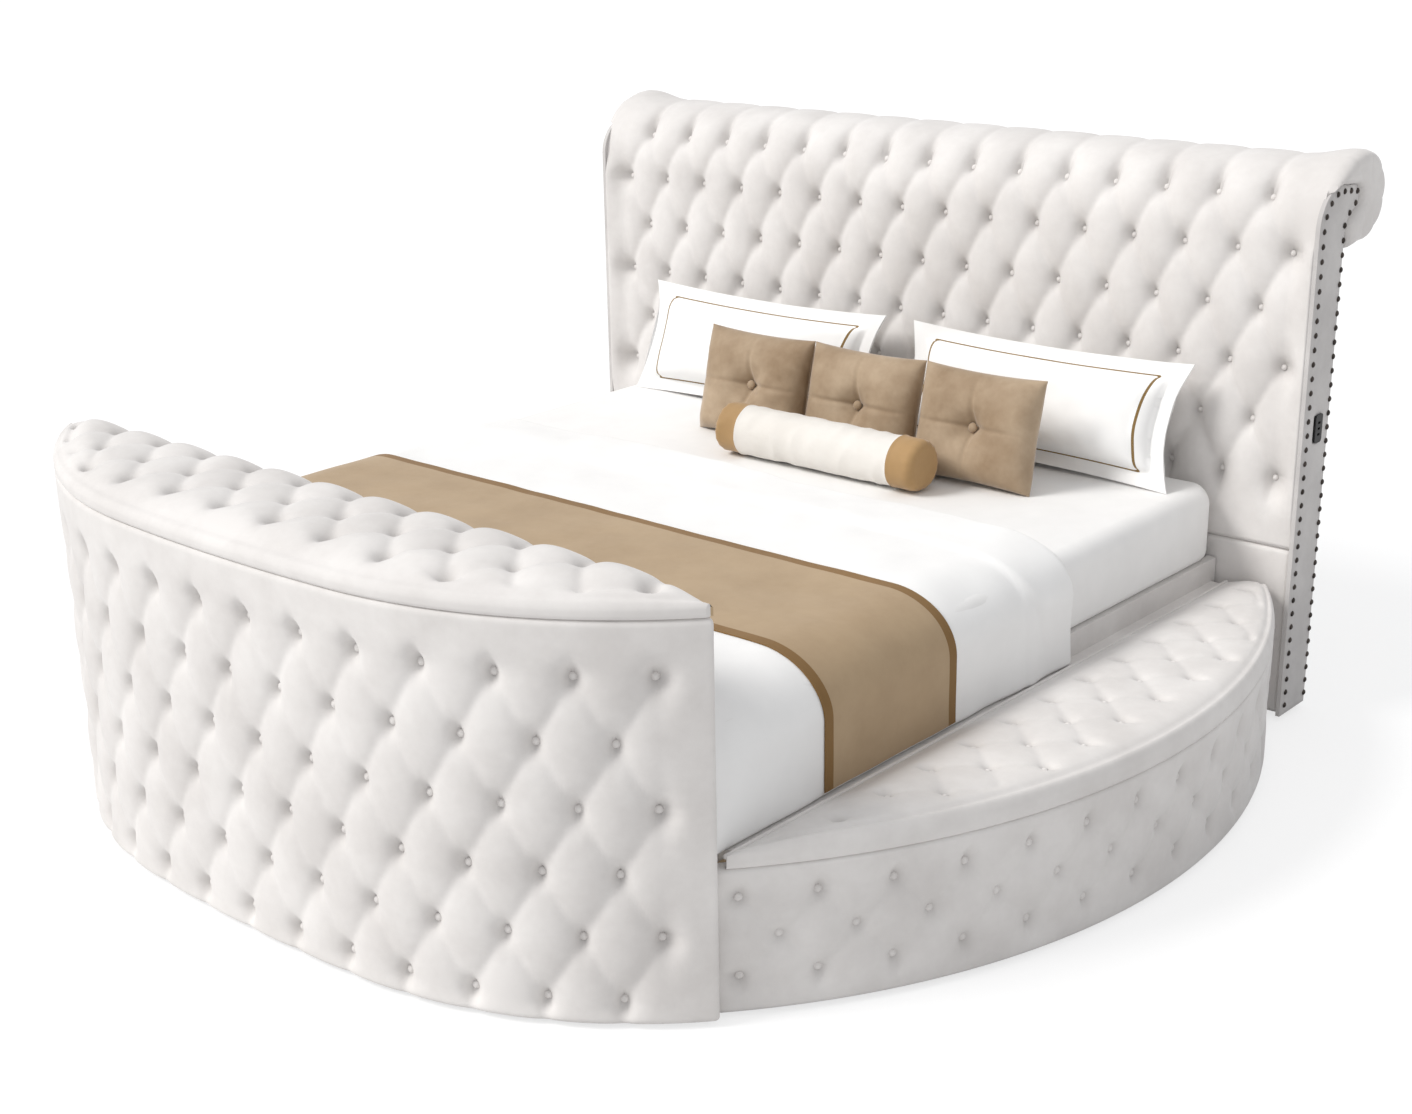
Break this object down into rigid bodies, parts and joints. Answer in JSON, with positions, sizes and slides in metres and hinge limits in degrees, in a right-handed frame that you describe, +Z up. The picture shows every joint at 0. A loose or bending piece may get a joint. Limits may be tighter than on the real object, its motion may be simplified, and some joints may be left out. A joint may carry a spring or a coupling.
{
  "type": "round bed",
  "caption": "Round storage bed with a scroll-topped tufted headboard, a curved footboard and two curved side benches whose cushioned tops lift.",
  "frame": {"origin": "on the floor under the middle of the whole bed's bounding box", "axes": "+Z up, +Y towards the headboard, +X towards the bed's right side seen from its foot"},
  "size_m": [2.8266, 2.718, 1.445],
  "materials": {
    "velvet": "tufted short-pile velvet, warm off-white",
    "linen": "soft washed cotton",
    "runner_velvet": "tan velvet with two darker woven bands",
    "accent_velvet": "tan crushed velvet",
    "mattress_ticking": "knitted ticking",
    "nailhead_bronze": "dark bronze",
    "socket_plastic": "satin black",
    "plywood": "sanded plywood",
    "pine": "planed softwood",
    "steel": "zinc plated",
    "foot_plastic": "matt black"
  },
  "bodies": {
    "root": {"beam_legs": "pine", "bench_end_panels": "plywood", "bench_floors": "plywood", "bench_inner_panels": "plywood", "bench_wall_buttons": "velvet", "bench_walls": "plywood", "bolster": "accent_velvet", "centre_beam": "pine", "duvet": "linen", "feet": "foot_plastic", "footboard_buttons": "velvet", "footboard_corner_blocks": "pine", "footboard_floor": "plywood", "footboard_inner_pad": "velvet", "footboard_inner_wall": "plywood", "footboard_outer_wall": "plywood", "footboard_tufting": "velvet", "headboard_back_board": "plywood", "headboard_buttons": "velvet", "headboard_end_panels": "velvet", "headboard_front_board": "plywood", "headboard_lower_pad": "velvet", "headboard_posts": "pine", "headboard_rails": "pine", "headboard_roll_caps": "velvet", "headboard_scroll_bar": "pine", "headboard_scroll_ribs": "plywood", "headboard_scroll_skin": "plywood", "headboard_tufting": "velvet", "hinge_fixed_leaves": "steel", "hinge_pins": "steel", "hinge_rails": "pine", "left_bench_tufting": "velvet", "left_pillow": "linen", "mattress": "mattress_ticking", "nailheads": "nailhead_bronze", "rail_bolts": "steel", "rail_brackets": "steel", "right_bench_tufting": "velvet", "right_pillow": "linen", "runner": "runner_velvet", "side_rails": "pine", "slat_ledgers": "pine", "slats": "pine", "socket_body": "socket_plastic", "socket_plate": "socket_plastic", "velvet_buttons": "accent_velvet", "velvet_cushions": "accent_velvet"},
    "right_lid": {"right_lid_board": "plywood", "right_lid_cushion": "velvet", "right_lid_buttons": "velvet", "right_lid_hinge_leaves": "steel"},
    "left_lid": {"left_lid_board": "plywood", "left_lid_cushion": "velvet", "left_lid_buttons": "velvet", "left_lid_hinge_leaves": "steel"},
    "foot_lid": {"foot_lid_board": "plywood", "foot_lid_cushion": "velvet", "foot_lid_buttons": "velvet", "foot_lid_hinge_leaves": "steel"}
  },
  "joints": [
    {"name": "right_lid_hinge", "type": "hinge", "parent": "root", "child": "right_lid", "pos_m": [1.005, 0, 0.3479], "axis": [0, -1, 0], "range_deg": [0, 70]},
    {"name": "left_lid_hinge", "type": "hinge", "parent": "root", "child": "left_lid", "pos_m": [-1.005, 0, 0.3479], "axis": [0, 1, 0], "range_deg": [0, 70]},
    {"name": "foot_lid_hinge", "type": "hinge", "parent": "root", "child": "foot_lid", "pos_m": [0, -0.9974, 0.848], "axis": [-1, 0, 0], "range_deg": [0, 85]}
  ]
}
